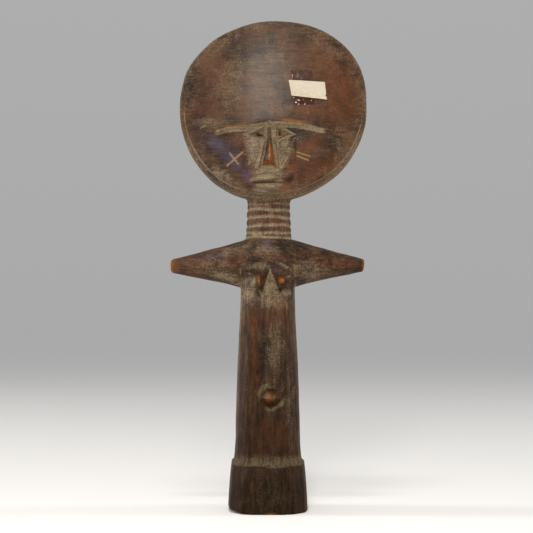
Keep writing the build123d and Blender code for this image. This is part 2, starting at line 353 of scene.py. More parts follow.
# ---- neck ----
NECK_AXIS = (0.6, 0.6)
NECK_RADIUS = ((CHEST_TOP - 3, 14.2), (168, 13.8), (187, 12.9), (206, 12.4))
NECK_GROOVES = ((166.0, 0.6), (168.9, 0.55), (173.4, 0.7), (178.4, 0.75), (183.1, 0.7), (186.6, 0.3))
RING_SWELL = 0.35


def neck_grooves(x, y, z):
    """Depth of the cut rings, which wander a little round the neck."""
    turn = np.arctan2(y - NECK_AXIS[1], x - NECK_AXIS[0])
    depth = 0
    for order, (level, cut) in enumerate(NECK_GROOVES):
        wander = 0.35 * np.sin(2 * turn + order * 1.7) + 0.2 * np.sin(5 * turn + order * 2.9)
        away = z - level - wander
        depth = depth + cut * (0.6 * bell(away, 0.6) + 0.4 * bell(away, 1.5))
    return depth


def neck(x, y, z):
    radius = curve(z, NECK_RADIUS) + RING_SWELL - neck_grooves(x, y, z) * (z < 190)
    field = np.hypot(x - NECK_AXIS[0], (y - NECK_AXIS[1]) * 1.03) - radius
    field = smooth_max(field, CHEST_TOP - 6 - z, 1.0)
    nape = (z - 187) * 0.5 + (y - 15.0) * 0.85
    field = smooth_max(field, nape, 3.0)
    return smooth_max(field, z - 207, 1.0)


# ---- head ----
CROWN_DROP = 5.25  # by which the top is flatter than the rest
CROWN_TURN = math.radians(13)  # towards the doll's right
RIM_BULGES = (  # angle round the rim, height, width
    (-117, 1.3, 0.42), (-54, -0.7, 0.3), (-24, -0.5, 0.2), (5, -0.5, 0.15), (30, 1.2, 0.25),
    (66, 0.7, 0.25), (134, 0.9, 0.2), (176, -0.9, 0.3),
)
FRONT_LEVEL = 14.0
FRONT_DOME = (230.0, 480.0)  # radii across and up
BACK_LEVEL = 9.0
BACK_DOME = 560.0
BAND_WIDTH = 2.9  # of the step cut along the rim's lower half
BAND_STEP = 1.7
BAND_FALL = 2.6


def dome_level(u, v):
    """Height of the disc's domed front on the head's own axes."""
    across, up = FRONT_DOME
    return FRONT_LEVEL - u * u / (2 * across) - v * v / (2 * up)


def head_axes(x, y, z):
    dx, dy, dz = x - HEAD_CENTRE[0], y - HEAD_CENTRE[1], z - HEAD_CENTRE[2]
    return tuple(dx * axis[0] + dy * axis[1] + dz * axis[2] for axis in (ACROSS, UP, OUT))


def head_rim(u, v):
    """Distance outside the disc's outline, and how high on it, as a sine."""
    r = np.maximum(np.hypot(u, v), 1e-6)
    sine = v / r
    turn = np.arctan2(v, u)
    uneven = 0
    for angle, height, width in RIM_BULGES:
        away = (turn - math.radians(angle) + math.pi) % (2 * math.pi) - math.pi
        uneven = uneven + height * bell(away, width)
    crown = np.sin(turn - CROWN_TURN)
    return r - HEAD_RADIUS + CROWN_DROP * ramp(0.46, 1.05, crown) - uneven, sine


def rim_band(outside, sine):
    """Depth of the stepped and sloping band along the lower rim."""
    low = ramp(0.05, -0.5, sine)
    inside = outside + BAND_WIDTH
    fall = BAND_FALL * np.clip(inside / BAND_WIDTH, 0, 1.3)
    return low * (BAND_STEP * ramp(-0.35, 0.35, inside) + fall)


BROW_EDGE = ((-36.0, -19.6), (-28.0, -16.9), (-13.5, -14.3), (-4.5, -12.4), (4.6, -11.3), (15.6, -11.2),
             (34.5, -13.6))
BROW_MIDDLE = -0.8
BROW_HALF = 36.0
BROW_BAND = 3.0
PANEL_EDGES = (
    ((-52, -11.0), (-41, -12.2), (-32, -14.8), (-24, -16.8), (-18, -16.6)),
    ((-52, 11.0), (-43, 11.8), (-36, 12.7), (-25, 13.9), (-18, 14.4)),
)
PANEL_DEPTH = ((-57, 0.0), (-54, 0.4), (-50, 1.3), (-44, 2.3), (-38, 2.9), (-30, 3.2), (-20, 3.2),
               (-15, 2.9))
NOSE_TOP = -12.4
NOSE_FOOT = -37.8
NOSE_EDGES = (
    ((-40, -4.8), (-38, -4.5), (-34, -3.7), (-30, -3.1), (-24, -2.7), (-13, -3.2)),
    ((-40, 4.1), (-38, 3.8), (-34, 2.9), (-30, 2.1), (-24, 0.9), (-13, -0.3)),
)
NOSE_RIDGE = ((-38, 0.5), (-35, 0.3), (-20.5, -0.8), (-13, -1.7))
NOSE_RISE = ((-39, 5.2), (-35, 5.0), (-28, 3.6), (-20, 2.4), (-13, 1.6))
NOSE_ARCH = 1.5  # by which its foot is cut higher in the middle
HOLLOW_EDGES = (
    ((-41, -6.6), (-33, -5.2), (-26, -4.2), (-20, -3.7)),
    ((-41, 6.9), (-31, 4.9), (-25, 3.7), (-20, 2.4)),
)
EYES = (((-14.4, -20.0), (-4.4, -15.0), (-4.0, -23.6)), ((12.6, -18.2), (2.6, -13.8), (3.2, -22.8)))
LIDS = (((-10.6, -18.9), (-4.7, -16.2), (-5.0, -18.4)), ((9.6, -19.0), (3.4, -19.6), (3.4, -22.0)))
PUPILS = (((-8.2, -19.5), (-5.6, -20.0)), ((5.0, -17.2), (5.3, -18.6)))
CREASE = ((14.0, -20.4), (10.4, -27.0))  # cut down from the left eye's outer corner
SCRATCHES = (((6.6, -37.6), (7.4, -34.2)), ((8.2, -39.2), (8.9, -36.0)), ((9.6, -35.4), (10.6, -32.6)),
             ((-43.5, -17.6), (-40.6, -16.2)), ((-12.6, -38.6), (-12.0, -36.4)))
UPPER_LIP = ((-11.6, -49.3), (7.0, -46.3), 3.7, -0.7, 0.85)
LOWER_LIP = ((-7.8, -50.3), (9.4, -49.2), 0.6, -3.9, 0.6)
SCARS = (
    ((-25.4, -40.2), (-16.8, -31.3)),
    ((-24.3, -32.4), (-18.9, -38.8)),
    ((16.6, -29.3), (24.4, -31.2)),
    ((16.6, -31.6), (23.5, -33.8)),
)
LABEL_CORNERS = ((8.6, 14.6), (30.7, 15.2), (32.7, 4.3), (11.0, 4.9))
TAPE_CORNERS = ((9.6, 21.2), (22.6, 21.6), (25.4, 0.6), (12.6, -0.2))


def within(u, v, edges):
    """Distances inside a left and a right edge that run up the face."""
    left, right = edges
    return u - curve(v, left), curve(v, right) - u


def face_masks(u, v):
    """Where each cut of the face lies: from 0 to 1, or as a distance from it or inside it."""
    below = curve(u, BROW_EDGE) - v
    reach = np.clip(1 - np.abs((u - BROW_MIDDLE) / BROW_HALF) ** 3, 0, 1)
    from_left, from_right = within(u, v, PANEL_EDGES)
    in_hollow = ramp(-0.2, 0.8, np.minimum(*within(u, v, HOLLOW_EDGES)))
    band_foot = ramp(BROW_BAND + 0.8, BROW_BAND - 0.6, below)
    return {
        "below": below,
        "reach": reach,
        "brow_band": ramp(0, 0.5, below) * band_foot * ramp(0, 0.3, reach),
        "brow_edge": bell(below + 0.9, 1.3) * reach,
        "panel": ramp(-7.5, 3.0, from_left) * ramp(-6.5, 3.0, from_right) * ramp(0.0, 3.0, below),
        "beside": -np.minimum(*within(u, v, NOSE_EDGES)),
        "hollow": in_hollow * ramp(-20, -25, v) * ramp(-42.4, -39.8, v),
        "eye": most(*(triangle(u, v, eye) for eye in EYES)),
        "lid": most(*(triangle(u, v, lid) for lid in LIDS)),
        "upper_lip": lens(u, v, *UPPER_LIP),
        "lower_lip": lens(u, v, *LOWER_LIP),
        "pupil": strokes(u, v, PUPILS),
        "crease": stroke(u, v, *CREASE),
        "scar": strokes(u, v, SCARS),
        "scratch": strokes(u, v, SCRATCHES),
    }


def nose_height(u, v):
    """A long wedge with two flats that meet in a ridge, cut off sloping at its foot."""
    left, right, ridge = (curve(v, edge) for edge in (*NOSE_EDGES, NOSE_RIDGE))
    share = np.minimum((u - left) / (ridge - left), (right - u) / (right - ridge))
    flats = 0.25 * ramp(-0.3, 0.05, share) + 0.75 * np.clip(share, 0, 1)
    foot = ramp(NOSE_FOOT - 1.0, NOSE_FOOT + 0.9, v - NOSE_ARCH * np.clip(share, 0, 1))
    return curve(v, NOSE_RISE) * flats * foot * ramp(NOSE_TOP + 1.4, NOSE_TOP - 0.2, v)


def face_depth(u, v):
    """How far the carved face lies below the domed disc."""
    m = face_masks(u, v)
    cheeks = 2.5 * m["reach"] * ramp(-0.2, BROW_BAND, m["below"]) * ramp(28, 5, m["below"])
    panel = curve(v, PANEL_DEPTH) * m["panel"]
    eye = ramp(-0.15, 0.9, m["eye"])
    cut_away = (
        smooth_max(cheeks, panel, 0.6)
        + 1.7 * m["hollow"]
        + eye * (1.3 + 1.1 * bell(m["pupil"], 0.6))
        + 0.6 * bell(m["crease"], 0.8)
        + 0.7 * bell(m["upper_lip"] + 0.7, 0.5) * ramp(-49, -46.5, v)
        + 0.6 * ramp(0.55, 0.15, m["scar"])
        + 0.3 * ramp(0.4, 0.1, m["scratch"])
    )
    left_standing = (
        0.25 * m["brow_edge"]
        + 0.9 * ramp(-0.1, 0.7, m["lid"])
        + 0.5 * bell(m["eye"] + 0.5, 0.45)
        + nose_height(u, v)
        + 1.8 * ramp(-0.1, 0.9, m["upper_lip"])
        + 1.9 * ramp(-0.1, 1.3, m["lower_lip"])
    )
    return cut_away - left_standing


def head(x, y, z):
    u, v, w = head_axes(x, y, z)
    outside, sine = head_rim(u, v)
    front = w - dome_level(u, v) + rim_band(outside, sine)
    near = (np.abs(front) < 7) & (outside < 1)
    front[near] += face_depth(u[near], v[near])
    back = -w - BACK_LEVEL + (u * u + v * v) / (2 * BACK_DOME)
    rolled = 1.0 + 2.4 * ramp(-0.3, 0.5, sine)
    field = smooth_max(outside, front, rolled)
    return smooth_max(field, back, 3.4)


# ---- the whole block ----
def cut_trunk(x, y, z):
    return trunk(x, y, z) + hollow_between_breasts(x, y, z) + navel_ring(x, y, z)


def shoulder_fillet(_x, _y, z):
    """Width of the fillet between arms and trunk, the widest high on the chest."""
    return 0.7 + 7.3 * ramp(144, 153, z) * ramp(168, 156, z)


def wood(points):
    """The carved block's field: negative inside the wood, in millimetres."""
    x, y, z = points.T
    field = np.full(len(points), FAR)

    def join(shape, low, high, blend):
        part = (z > low) & (z < high)
        if part.any():
            here = x[part], y[part], z[part]
            width = blend(*here) if callable(blend) else blend
            field[part] = smooth_min(field[part], shape(*here), width)

    join(cut_trunk, 20, 175, 1.0)
    join(arms, 125, 175, shoulder_fillet)
    join(breasts, 125, 155, 0.5)
    join(navel, 55, 85, 0.4)
    join(foot_block, -10, 40, 0.7)
    join(neck, 155, 215, 0.9)
    join(head, 175, 400, 2.2)
    return field


def knife_marks(points):
    """Shallow unevenness of the carved skin, none on the flat underside."""
    z = points[:, 2]
    chest = ramp(138, 146, z) * ramp(NECK_FOOT + 3, NECK_FOOT - 3, z)
    marks = 0.13 * noise(points, 9.0, 1) + 0.05 * noise(points, 3.2, 2)
    return (marks + 0.22 * chest * noise(points, 5.5, 3)) * ramp(0, 1.5, z)


def skin(points):
    return wood(points) + knife_marks(points)


# ---- meshing ----
def sample_grid(low, counts, step):
    """Field values on a grid, slab by slab."""
    grid = np.empty(counts, np.float32)
    xs, ys, zs = (low[i] + step * np.arange(counts[i]) for i in range(3))
    for k in range(0, counts[2], 16):
        x, y, z = np.meshgrid(xs, ys, zs[k : k + 16], indexing="ij")
        points = np.stack((x.ravel(), y.ravel(), z.ravel()), axis=1)
        grid[:, :, k : k + 16] = wood(points).reshape(x.shape)
    return grid


def surface_net(low, high, step):
    """Vertices and quads round the field's zero level, one vertex in each cell that it crosses."""
    counts = tuple(int(math.ceil((b - a) / step)) + 1 for a, b in zip(low, high))
    grid = sample_grid(low, counts, step)
    inside = grid < 0
    cells, points, flips = [], [], []
    for axis in range(3):
        unit = np.eye(3, dtype=int)[axis]
        first = inside.take(range(counts[axis] - 1), axis)
        second = inside.take(range(1, counts[axis]), axis)
        edges = np.argwhere(first != second)
        start = grid[tuple(edges.T)].astype(float)
        end = grid[tuple((edges + unit).T)].astype(float)
        crossing = edges + (start / (start - end))[:, None] * unit
        ring = np.zeros((4, 3), int)
        ring[1:3, (axis + 1) % 3] = -1
        ring[2:4, (axis + 2) % 3] = -1
        around = edges[:, None, :] + ring
        cells.append(np.ravel_multi_index(tuple(around.reshape(-1, 3).T), counts))
        points.append(np.repeat(crossing, 4, axis=0))
        flips.append(~inside[tuple(edges.T)])
    cells = np.concatenate(cells)
    points = np.concatenate(points)
    flips = np.concatenate(flips)
    _, index = np.unique(cells, return_inverse=True)
    count = np.bincount(index)
    verts = np.stack([np.bincount(index, points[:, i]) / count for i in range(3)], axis=1)
    quads = index.reshape(-1, 4)
    quads[flips] = quads[flips][:, ::-1]
    return np.array(low) + step * verts, quads


def slopes(points, reach=0.08):
    """The skin's field and its gradient, from four samples round each point."""
    corners = np.array(((1, -1, -1), (-1, -1, 1), (-1, 1, -1), (1, 1, 1)))
    value = 0
    gradient = 0
    for corner in corners:
        sampled = skin(points + corner * reach)
        value = value + sampled / 4
        gradient = gradient + sampled[:, None] * corner / (4 * reach)
    return value, gradient


def settle(points, rounds=3):
    """Moves points onto the skin."""
    for _ in range(rounds):
        value, gradient = slopes(points)
        steep = np.maximum((gradient**2).sum(axis=1), 0.2)
        move = -(value / steep)[:, None] * gradient
        length = np.linalg.norm(move, axis=1, keepdims=True)
        points = points + move * np.minimum(1, 0.35 * GRID_STEP / np.maximum(length, 1e-9))
    return points


# ---- the block in pieces ----
BLOCK_LOW = (-62.5, -28, -2.1)
BLOCK_HIGH = (64.5, 28, 303)
SAW_REACH = 3.0  # how far from a saw cut the mesh is looked through
FACE_SPAN = ((-38, 36), (-56, -9))  # where the head's mesh is twice as fine


def is_carved_face(centre):
    u, v, w = head_axes(*centre)
    (left, right), (low, high) = FACE_SPAN
    return w > 4 and left < u < right and low < v < high


def piece_at(centre):
    """Name of the piece that a place on the skin belongs to."""
    x, _, z = centre
    if z > HEAD_FOOT:
        return "head"
    if z > NECK_FOOT:
        return "neck"
    if z < BASE_TOP:
        return "foot_block"
    if z > ARM_LOW and abs(x) > ARM_CUT:
        return "right_arm" if x < 0 else "left_arm"
    return "trunk"


def saw(block, place, normal, low=-FAR, high=FAR):
    """Cuts edges into the mesh along a plane, between two heights."""
    place, normal = Vector(place), Vector(normal)
    verts = [
        v for v in block.verts
        if low < v.co.z < high and abs((v.co - place).dot(normal)) < SAW_REACH
    ]
    chosen = set(verts)
    edges = [e for e in block.edges if e.verts[0] in chosen and e.verts[1] in chosen]
    faces = [f for f in block.faces if all(v in chosen for v in f.verts)]
    bmesh.ops.bisect_plane(block, geom=verts + edges + faces, dist=1e-5, plane_co=place, plane_no=normal)


def carved_block():
    """The whole block as one mesh in millimetres, with edges where its pieces part."""
    verts, quads = surface_net(BLOCK_LOW, BLOCK_HIGH, GRID_STEP)
    mesh = bpy.data.meshes.new("block")
    mesh.from_pydata(verts.tolist(), [], quads.tolist())
    block = bmesh.new()
    block.from_mesh(mesh)
    bpy.data.meshes.remove(mesh)
    fine = {e for f in block.faces if is_carved_face(f.calc_center_median()) for e in f.edges}
    bmesh.ops.subdivide_edges(block, edges=list(fine), cuts=1, use_grid_fill=True)
    settled = settle(np.array([v.co for v in block.verts]))
    for vert, place in zip(block.verts, settled):
        vert.co = place
    for height in (BASE_TOP, NECK_FOOT, HEAD_FOOT):
        saw(block, (0, 0, height), (0, 0, 1))
    for side in (-ARM_CUT, ARM_CUT):
        saw(block, (side, 0, 0), (1, 0, 0), ARM_LOW, NECK_FOOT)
    return block


def closed_piece(block, owners, name):
    """One piece of the block, closed with a flat cap wherever it was sawn."""
    piece = block.copy()
    others = [face for face, owner in zip(piece.faces, owners) if owner != name]
    bmesh.ops.delete(piece, geom=others, context="FACES")
    for face in piece.faces:
        face.smooth = True
    rims = [edge for edge in piece.edges if edge.is_boundary]
    caps = bmesh.ops.holes_fill(piece, edges=rims, sides=0)["faces"]
    for cap in caps:
        cap.smooth = False
    bmesh.ops.triangulate(piece, faces=caps)
    return piece


def read(items, name, width=1, kind=float):
    """One property of each of a mesh's items, as an array with a row for each."""
    values = np.empty(len(items) * width, kind)
    items.foreach_get(name, values)
    return values.reshape(-1, width)


def set_normals(mesh, normals):
    """Shades the carved skin by the field's own slopes, so that no piece shows its edge."""
    corner = read(mesh.loops, "vertex_index", kind=np.int32)[:, 0]
    sizes = read(mesh.polygons, "loop_total", kind=np.int32)[:, 0]
    face = np.repeat(np.arange(len(sizes)), sizes)
    smooth = read(mesh.polygons, "use_smooth", kind=bool)[face]
    flat = read(mesh.polygons, "normal", 3)[face]
    mesh.normals_split_custom_set(np.where(smooth, normals[corner], flat).tolist())


# ---- what lies on the skin ----
# places on the head's front, from its centre, and on the trunk's front, in millimetres:
# across, up, half width, half height, turn in degrees, strength
HEAD_BLOTS = {
    "red": (
        (-36, 18, 11, 13, 0, 0.7), (-42, -4, 9, 12, 0, 0.6), (-18, -22, 8, 7, 0, 0.8),
        (18, 32, 16, 10, 0, 0.5), (42, 10, 10, 22, 0, 0.6), (22, -40, 16, 9, 25, 0.8),
        (-20, -5, 18, 5, 0, 0.6), (12, -30, 2.5, 8, -10, 0.5), (-17, -32, 2.5, 6, 15, 0.5),
        (-28, 40, 14, 6, 25, 0.4),
    ),
    "rust": (
        (38, 8, 14, 20, 0, 0.6), (24, -3, 18, 4, 0, 0.6), (22, -26.5, 12, 4.6, 42, 1.0),
        (14.5, -37, 2.6, 8, -25, 0.8), (11.5, -52, 5, 4, 10, 1.0), (36, -38, 16, 8, 35, 0.7),
        (32, 24, 10, 10, 0, 0.4), (4.4, -49.0, 5, 1.0, 3, 1.0), (-13, -19.6, 2, 1, 10, 0.8),
        (9, -17.2, 2.2, 0.9, -30, 0.9),
    ),
    # Purple bloom; the mark along the tape's lower edge, at (26, 1), is a painted reflection.
    "bloom_and_sheen": (
        (-33, -27, 7, 4, -35, 1.0), (-23, -36, 9, 4, -42, 1.0), (-13, -45, 6, 3, -60, 1.0),
        (-44, -18, 6, 8, 0, 0.3), (26, 1, 5, 1.2, 0, 0.6), (-10.5, -27, 4, 9, 8, 0.45),
    ),
    "dust_and_sheen": (
        (-29, -46, 9, 4, -35, 0.34), (44, -24, 8, 14, 0, 0.14), (30, 40, 14, 5, -35, 0.15),
        (-26, 10, 9, 18, 0, 0.22), (-36, 36, 12, 5, 35, 0.18), (-10.5, -28, 4.8, 10, 8, 0.58),
        (9, -29, 4.8, 10, -8, 0.52), (0, -43, 9, 2.5, 0, 0.8), (-4, 22, 11, 26, 0, 0.16),
        (34, -40, 14, 4, 35, 0.15), (-2, -21, 16, 4, 0, 0.4), (-40, -14, 12, 3, 0, 0.3),
    ),
    # Mostly dark stain; the mark along the crease below the left eye's outer corner, at (12.2, -23.6), is
    # painted shade.
    "dark": (
        (-50, -17, 8, 9, 0, 0.5), (31, -22, 6, 4, 0, 0.4), (13, -46, 2.2, 3.5, -35, 0.9),
        (12.2, -23.6, 1.2, 4.5, -30, 0.6), (46, 0, 6, 10, 0, 0.3), (30, -46, 12, 2.5, 33, 0.6),
        (-30, -21, 7, 2.5, 0, 0.5), (-11, -52.5, 3.5, 2.2, -30, 0.8), (30, -38, 14, 8, 35, 0.35),
        (0, 52, 34, 5, 0, 0.25),
    ),
}
BODY_BLOTS = {
    "red": (
        (-3, 118, 8, 10, 0, 0.6), (8, 52, 5, 7, 0, 0.6), (-6, 78, 3, 20, 0, 0.5),
        (12, 110, 4, 22, 0, 0.4), (-22, 152, 9, 2.2, 8, 0.8), (3, 154, 9, 3, 0, 0.8),
        (-40, 150, 16, 2.5, 0, 0.6), (28, 152, 10, 4, -12, 0.5), (10, 36, 6, 6, 0, 0.3),
    ),
    "rust": (
        (-8.5, 103, 2.0, 24, 1, 0.8), (-7.5, 80, 2.2, 9, 0, 0.8), (-1, 51, 3, 7, 0, 0.7),
        (5, 125, 4, 4, 0, 0.5), (46, 150.5, 13, 2.0, -8, 0.8), (9, 47, 4, 6, 0, 0.5),
        (-3, 40, 2, 4, 0, 0.6), (-3.4, 139, 1.4, 2.4, 0, 0.6),
    ),
    # Purple bloom, with painted light: the mark at the chest's top, at (-1, 162), is a painted highlight,
    # and the long marks down the -x edges of trunk and foot block, at (-17, 60) and (-21, 12), are painted
    # sheen.
    "bloom_and_sheen": (
        (-1, 162, 3.5, 3, 0, 0.5), (-34, 155, 9, 2.5, 10, 0.5), (5, 146.5, 2.6, 2, -40, 0.6),
        (-21, 12, 3, 14, 0, 0.4), (-17, 60, 2.5, 40, 2, 0.4), (-12, 126, 4, 3, 0, 0.4),
    ),
    # Mostly dust; the thin pale line along the foot block's ledge, at (7, 28.0), is a painted highlight.
    "dust_and_sheen": (
        (1, 127, 13, 5, 0, 0.4), (4, 98, 7, 14, 0, 0.3), (-5, 148, 7, 2.2, 0, 0.45),
        (26, 146, 12, 7, 0, 0.3), (-26, 142, 12, 3.5, -18, 0.45), (0, 12, 16, 12, 0, 0.15),
        (-11, 131, 4.5, 5, 0, 0.6), (11, 131.5, 4, 2.4, 0, 0.5), (14, 60, 3, 30, 0, 0.2),
        (7, 28.0, 7, 0.5, 4, 0.9), (-10, 138, 3.6, 4.0, 0, 0.5), (9.5, 148.5, 5, 1.0, -25, 0.6),
        (-20, 158, 12, 3, 16, 0.3), (1, 72, 8, 9, 0, 0.25), (-36, 149, 13, 5, 4, 0.24),
        (-2, 156, 12, 6, 0, 0.2),
    ),
    # Partly dark stain and partly painted shade: the marks round and under both breasts, the line under
    # the foot block's ledge at (-5, 27.2) and the mark below the navel at (5, 62) are painted shade.
    "dark": (
        (-6.4, 132.6, 1.6, 2.2, 0, 1.0), (11.2, 138.6, 1.5, 2, 0, 1.0), (-3.0, 142, 2.5, 3, 0, 0.6),
        (13, 100, 3, 40, 0, 0.4), (-12, 100, 2, 30, 0, 0.3), (0, 45, 12, 3, 0, 0.3),
        (8.8, 134.4, 2.4, 1.2, 20, 0.9), (20, 8, 3, 12, 0, 0.4), (-5, 27.2, 7, 0.7, -5, 0.9),
        (-9, 142.6, 3.5, 1.6, 0, 0.6), (5, 62, 5, 3, 0, 0.3), (30, 150, 12, 6, 0, 0.3),
        (-11.5, 137.5, 1.2, 2.4, -20, 0.7),
    ),
}


def blots(across, up, places):
    """Soft oval marks, the strongest at each place."""
    total = np.zeros(len(across))
    for x, y, half_x, half_y, turn, strength in places:
        cos, sin = direction(turn)
        a = ((across - x) * cos + (up - y) * sin) / half_x
        b = ((up - y) * cos - (across - x) * sin) / half_y
        total = most(total, strength * np.exp(-((a * a + b * b) ** 1.3)))
    return total


def layer(marks, name, *values):
    """Raises one of the marks to the greatest of some values."""
    marks[name] = most(marks[name], *values)


def cavity(points, normals, steep, reach):
    """How hollow the skin is at a scale, from -1 to 1: 0 on a flat, above 0 in a corner.

    With a reach below 0 it looks inwards, and comes out above 0 on an edge.
    """
    return np.clip(1 - skin(points + normals * reach) / (steep * reach), -1, 1)


def under_tape(u, v):
    one, two, three, four = TAPE_CORNERS
    inside = most(triangle(u, v, (one, two, three)), triangle(u, v, (three, four, one)))
    return ramp(-0.2, 0.4, inside)


def nose_zones(v, beside):
    """The whole nose, its lower half, and the ground beside it."""
    whole = ramp(0.3, -0.4, beside) * ramp(NOSE_FOOT - 0.5, NOSE_FOOT + 0.5, v) * ramp(-12, -14, v)
    ground = bell(beside - 1.6, 2.6) * ramp(NOSE_FOOT - 6, NOSE_FOOT, v) * ramp(-12, -15, v)
    return whole, whole * ramp(-23, -28, v), ground


def face_wear_and_highlight(u, v, below, low_nose):
    """Bare wood down the nose's ridge and left side and above the brow, and a painted highlight along the
    foot of its right side.
    """
    off_ridge = u - curve(v, NOSE_RIDGE)
    return most(
        0.5 * low_nose * ramp(-0.4, 0.3, off_ridge) * ramp(4.5, 1.0, off_ridge),
        low_nose * bell(off_ridge, 0.45),
        # Painted highlight along the nose's foot, on its right flat.
        0.5 * low_nose * bell(v - NOSE_FOOT - 0.9, 0.6) * ramp(0.5, -0.5, off_ridge),
        0.6 * bell(below + 0.6, 0.7) * ramp(3, 9, u) * ramp(26, 14, u),
        0.3 * bell(below + 0.5, 0.7) * ramp(-31, -28, u) * ramp(-12, -16, u),
    )


def face_dust(u, m, beside_nose):
    """Dust on the brow band, beside the nose, round the eyes and on the lips."""
    return most(
        0.95 * np.clip(m["brow_band"] * 1.1, 0, 1) * ramp(36, 30, np.abs(u - BROW_MIDDLE)),
        0.9 * beside_nose,
        0.85 * bell(m["eye"] + 0.6, 0.7),
        0.8 * ramp(0, 0.8, most(m["upper_lip"], m["lower_lip"])),
        0.75 * ramp(0.2, 1.0, m["lid"]),
        (0.75 - 0.35 * ramp(0, 4, u)) * m["hollow"],
    )


def rim_dust(u, w, outside, sine, front):
    """Dust on the disc's rim, just inside it, and along its lower band."""
    return most(
        (0.12 + 0.23 * ramp(3, 9, w)) * bell(outside + 0.4, 1.2),
        0.14 * ramp(-11, -2, outside) * front,
        (0.27 + 0.001 * u) * ramp(-0.4, 0.2, outside + BAND_WIDTH) * ramp(0.0, -0.4, sine),
    )


def head_marks(points):
    """Dust, stain and wear of the head's front and rim, with painted shade in the mouth's parting, the
    pupils and a crease, a painted highlight along the nose's foot and a painted reflection at the tape's
    edge.
    """
    u, v, w = head_axes(*points.T)
    front = ramp(2, 6, w)
    m = face_masks(u, v)
    on_nose, low_nose, beside_nose = nose_zones(v, m["beside"])
    socket = ramp(0.1, 0.7, m["eye"]) * ramp(0.6, 0.0, m["lid"])
    parting = bell(v + 49.0 - 0.06 * u, 0.8) * ramp(10, 8, np.abs(u + 0.5))
    taped = under_tape(u, v)
    marks = {name: blots(u, v, places) for name, places in HEAD_BLOTS.items()}
    layer(marks, "dust_and_sheen", face_dust(u, m, beside_nose))
    layer(marks, "red", 0.9 * on_nose * ramp(0.3, -0.3, u - curve(v, NOSE_RIDGE)))
    layer(marks, "rust", 0.6 * taped, 0.7 * socket)
    # Painted shade: dark in the mouth's parting, towards -u, and in the pupils' pits.
    layer(marks, "dark", 0.6 * parting * ramp(6, -2, u), 0.9 * bell(m["pupil"], 0.65))
    marks["wear_and_highlight"] = face_wear_and_highlight(u, v, m["below"], low_nose)
    marks["scar"] = most(ramp(0.55, 0.2, m["scar"]), 0.5 * ramp(0.4, 0.15, m["scratch"]))
    forehead = 0.68 * ramp(34, 10, off(u, v, (-2, 12), tall=1 / 0.6)) * ramp(0, -4, m["below"])
    chin = bell(off(u, v, (-4, -54.4), wide=6), 1.3)
    marks["gloss"] = most(low_nose, 0.3 * taped, forehead, chin)
    marks["swept"] = most(0.85 * ramp(0.1, 0.8, m["eye"]), taped, parting, on_nose)
    marks = {name: front * values for name, values in marks.items()}
    layer(marks, "dust_and_sheen", rim_dust(u, w, *head_rim(u, v), front))
    cleaned = front * most(taped, on_nose * (0.3 + 0.7 * ramp(-20, -26, v)))
    dust_and_sheen = most(marks["dust_and_sheen"] * (1 - cleaned), 0.24 * socket * front)
    # The pupils are kept clear of dust, so that their painted shade stays dark.
    marks["dust_and_sheen"] = dust_and_sheen * (1 - 0.8 * bell(m["pupil"], 0.6))
    return marks


NAVEL_SHINE = NAVEL_PLACE + (-1.2, 0.2)  # where its boss is worn


def navel_zones(x, y, z):
    """The navel's boss, and the broken ring of dust round it."""
    around = off(x, z, NAVEL_PLACE, NAVEL_STRETCH)
    turn = np.arctan2(z - NAVEL_PLACE[1], x - NAVEL_PLACE[0])
    dusty_side = (0.5 + 0.5 * np.cos(2 * (turn - math.radians(122)))) ** 1.4
    wander = 0.7 * np.sin(3 * turn + 0.8) + 0.4 * np.sin(7 * turn)
    boss = ramp(6.2, 5.5, around) * ramp(-16.0, -17.2, y)
    return boss, dusty_side * bell(around - 6.9 - wander, 1.1)


def side_dust_and_sheen(x, y, z):
    """Dust and painted sheen down the sides of the trunk and the foot block, thinner towards the back and
    stronger on the -x side, which faces the left_strip light.
    """
    off_trunk = np.abs(x) - 1.05 * curve(z, TRUNK_WIDTH)
    off_base = np.abs(x) - 1.03 * curve(z, BASE_WIDTH)
    on_trunk = (0.62 - 0.008 * x) * bell(off_trunk, 2.2) * (z > 28) * (z < 135)
    on_base = (0.5 - 0.008 * x) * bell(off_base, 2.2) * (z > 0.5) * (z < 27)
    return (0.35 + 0.65 * ramp(9, -5, y)) * (on_trunk + on_base)


def body_wear(x, y, z):
    """Bare wood at the arms' ends, and chips along the foot block's front edge."""
    left_end = ramp(LEFT_TIP - 1.6, LEFT_TIP - 0.5, x)
    right_end = ramp(RIGHT_TIP - 6.0, RIGHT_TIP - 0.5, -x)
    chips = ramp(1.4, 0.3, z) * ramp(-18, -21, y) * bell(x - 2.0, 3.0)
    return most(0.36 * left_end, 0.36 * right_end, 0.7 * chips)


